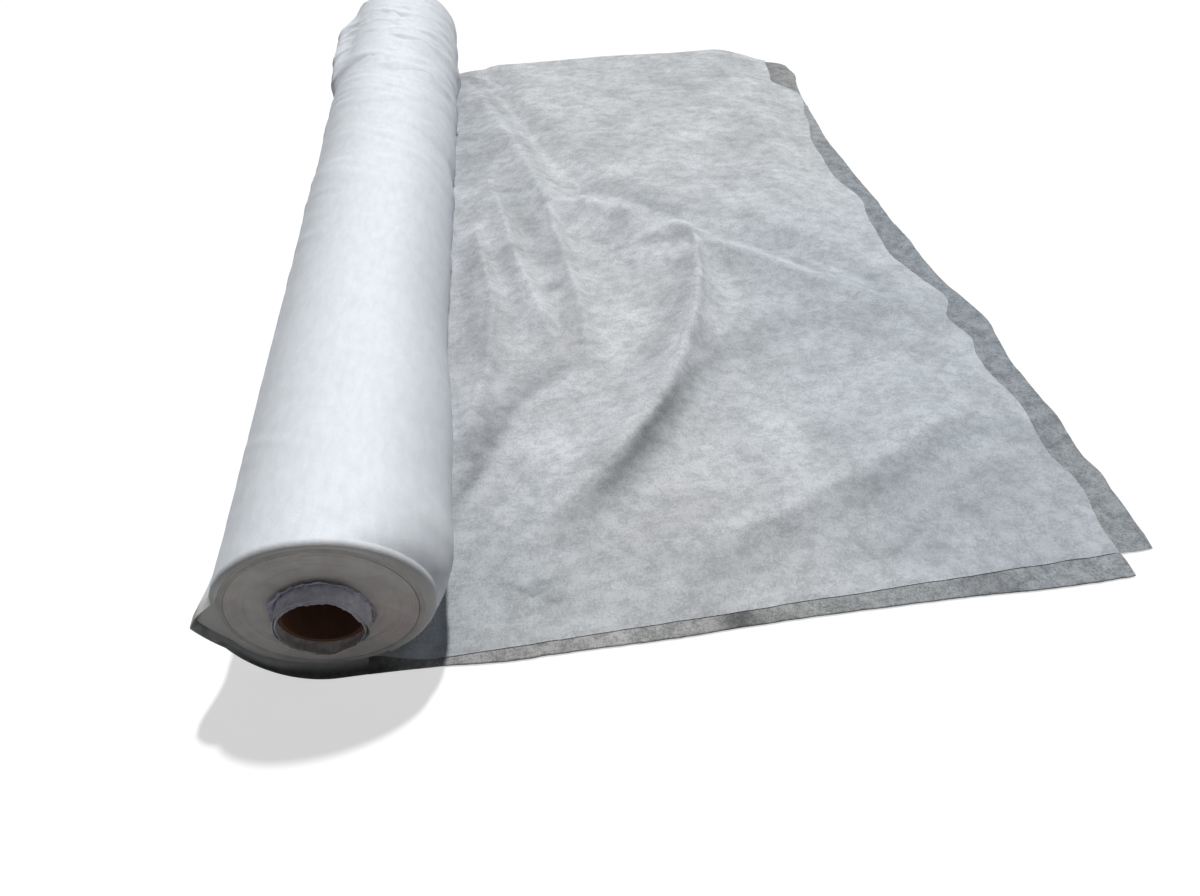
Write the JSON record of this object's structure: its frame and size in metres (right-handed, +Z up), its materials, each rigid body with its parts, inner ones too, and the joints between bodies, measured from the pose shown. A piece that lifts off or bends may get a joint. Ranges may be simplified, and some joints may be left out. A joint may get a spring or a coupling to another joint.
{
  "type": "roll of frost protection fleece",
  "caption": "Roll of thin white spun-bonded fleece, folded lengthwise and wound on a cardboard core, its loose outer turn led under the roll into a flat laid length.",
  "frame": {"origin": "on the ground under the roll's axis, at the middle of the roll's length", "axes": "+Y along the roll, away from the end with the crumpled collar; +X along the laid web to its cut end; +Z up"},
  "size_m": [1.0749, 1.6623, 0.2049],
  "materials": {
    "fleece_loose_turn": "matt white spun-bonded fleece, several plies deep",
    "fleece_wound": "matt, cut edges of the wound plies",
    "fleece_collar": "matt, crumpled plies",
    "fleece_laid": "matt white spun-bonded fleece, four plies deep, cloudy",
    "fleece_single": "matt, one or two plies deep, so the ground shows through",
    "cardboard": "spiral-wound brown board"
  },
  "bodies": {
    "laid_web": {"top_leaf": "fleece_laid", "second_leaf": "fleece_single", "lower_pair": "fleece_single"},
    "loose_turn": {"loose_turn_outer": "fleece_loose_turn", "loose_turn_inner": "fleece_loose_turn"},
    "roll": {"core_tube": "cardboard", "collar_turns": "fleece_collar", "wound_body": "fleece_wound", "outer_turns": "fleece_wound"}
  },
  "joints": [
    {"name": "roll_travel", "type": "slide", "parent": "laid_web", "child": "loose_turn", "axis": [-1, 0, 0], "range_m": [0, 0.64], "deforming": ["top_leaf", "second_leaf", "lower_pair"]},
    {"name": "roll_spin", "type": "hinge", "parent": "loose_turn", "child": "roll", "pos_m": [0, 0, 0.1025], "axis": [0, -1, 0], "range_deg": [0, 360]}
  ],
  "couplings": [
    {"joint": "roll_spin", "follows": "roll_travel", "rad_per_m": 9.7561}
  ]
}
